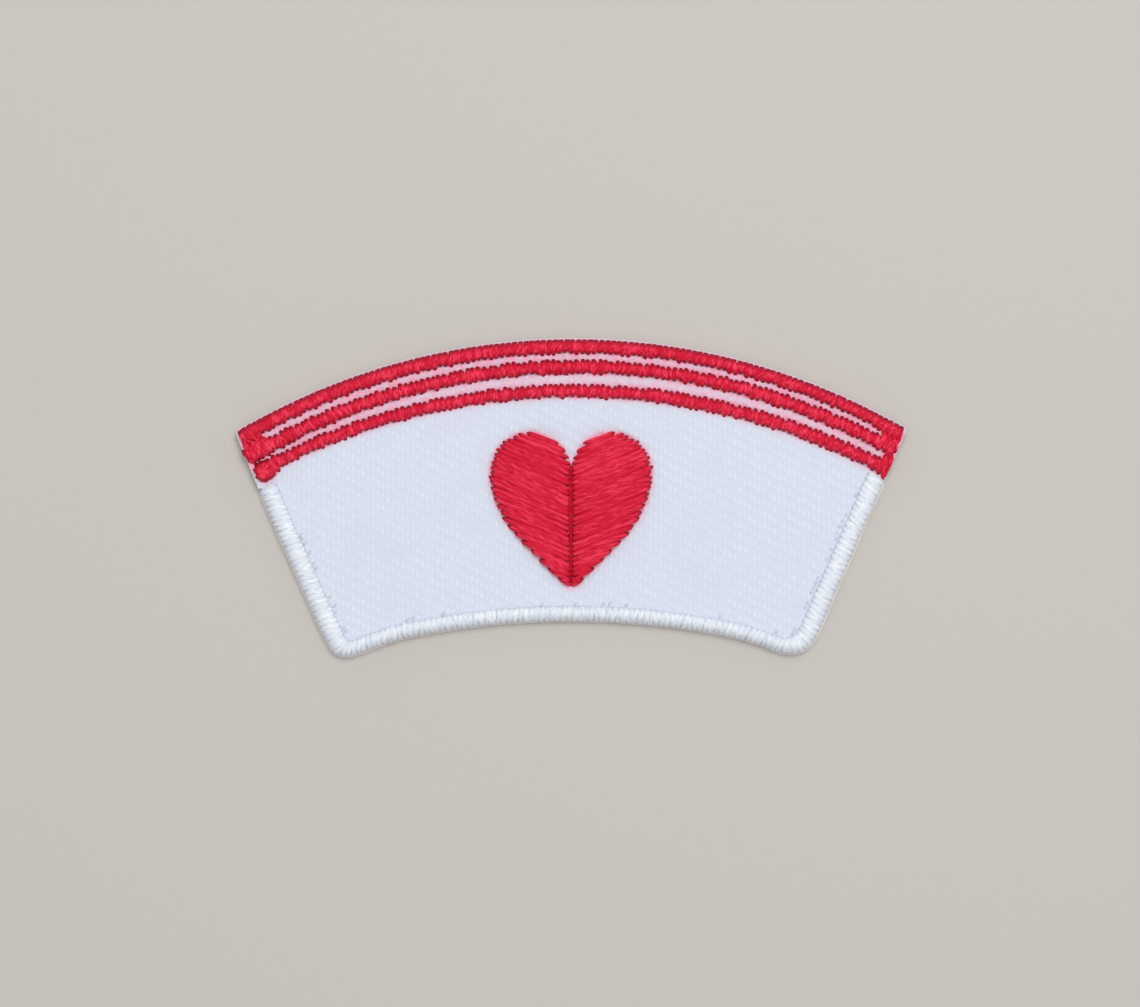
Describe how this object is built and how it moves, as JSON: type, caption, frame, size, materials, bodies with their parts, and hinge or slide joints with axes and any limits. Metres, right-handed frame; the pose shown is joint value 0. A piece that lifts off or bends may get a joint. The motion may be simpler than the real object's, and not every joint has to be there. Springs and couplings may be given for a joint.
{
  "type": "embroidered nurse cap patch",
  "caption": "Small embroidered patch in the shape of a nurse's cap, with stitched stripes under the crown, a heart motif and a satin-stitched border.",
  "frame": {"origin": "middle of the underside, under the centre of the patch's bounding box", "axes": "+X to the right across the cap, +Y towards the crown and its stripes, +Z out of the embroidered face"},
  "size_m": [0.0574, 0.0274, 0.0018],
  "materials": {
    "white_twill": "matt white polyester twill",
    "white_thread": "soft-sheen white embroidery thread",
    "red_thread": "soft-sheen red embroidery thread"
  },
  "bodies": {
    "root": {"twill_ground": "white_twill", "edge_border": "white_thread", "stripe_top": "red_thread", "stripe_middle": "red_thread", "stripe_bottom": "red_thread", "heart_left": "red_thread", "heart_right": "red_thread"}
  },
  "joints": []
}
